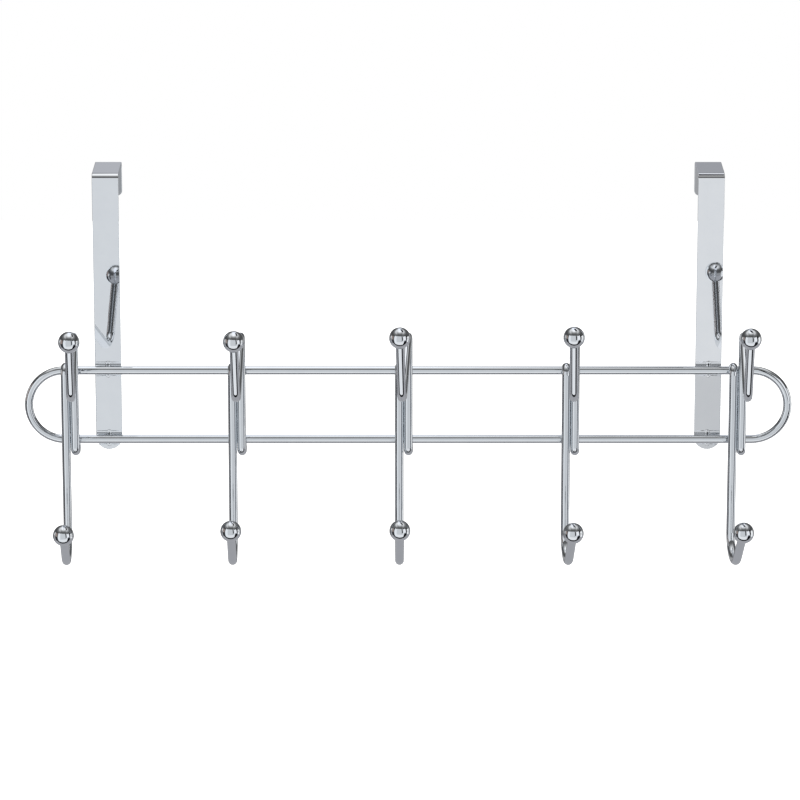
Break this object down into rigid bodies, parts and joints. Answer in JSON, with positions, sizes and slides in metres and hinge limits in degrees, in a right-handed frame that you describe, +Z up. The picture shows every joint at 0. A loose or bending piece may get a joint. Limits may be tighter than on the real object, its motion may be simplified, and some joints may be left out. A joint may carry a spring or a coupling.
{
  "type": "over door hook",
  "caption": "Chromed wire rack with ball-ended hooks above and below its rails, hung over the top of a door by flat bent straps.",
  "frame": {"origin": "on the door's top front edge, halfway between the two straps", "axes": "+X along the rails to the right as seen from the room, +Y from the room through the door, +Z up"},
  "size_m": [0.4634, 0.1258, 0.2341],
  "materials": {
    "strap_chrome": "polished chrome plate on flat steel strip",
    "rail_chrome": "polished chrome plate on steel wire",
    "hook_chrome": "polished chrome plate on steel wire",
    "ball_chrome": "mirror-polished chrome plate on steel balls"
  },
  "bodies": {
    "root": {"rail_loop": "rail_chrome", "door_strap_left": "strap_chrome", "door_strap_right": "strap_chrome", "hook_wire_1": "hook_chrome", "upper_ball_1": "ball_chrome", "lower_ball_1": "ball_chrome", "hook_wire_2": "hook_chrome", "upper_ball_2": "ball_chrome", "lower_ball_2": "ball_chrome", "hook_wire_3": "hook_chrome", "upper_ball_3": "ball_chrome", "lower_ball_3": "ball_chrome", "hook_wire_4": "hook_chrome", "upper_ball_4": "ball_chrome", "lower_ball_4": "ball_chrome", "hook_wire_5": "hook_chrome", "upper_ball_5": "ball_chrome", "lower_ball_5": "ball_chrome"}
  },
  "joints": []
}
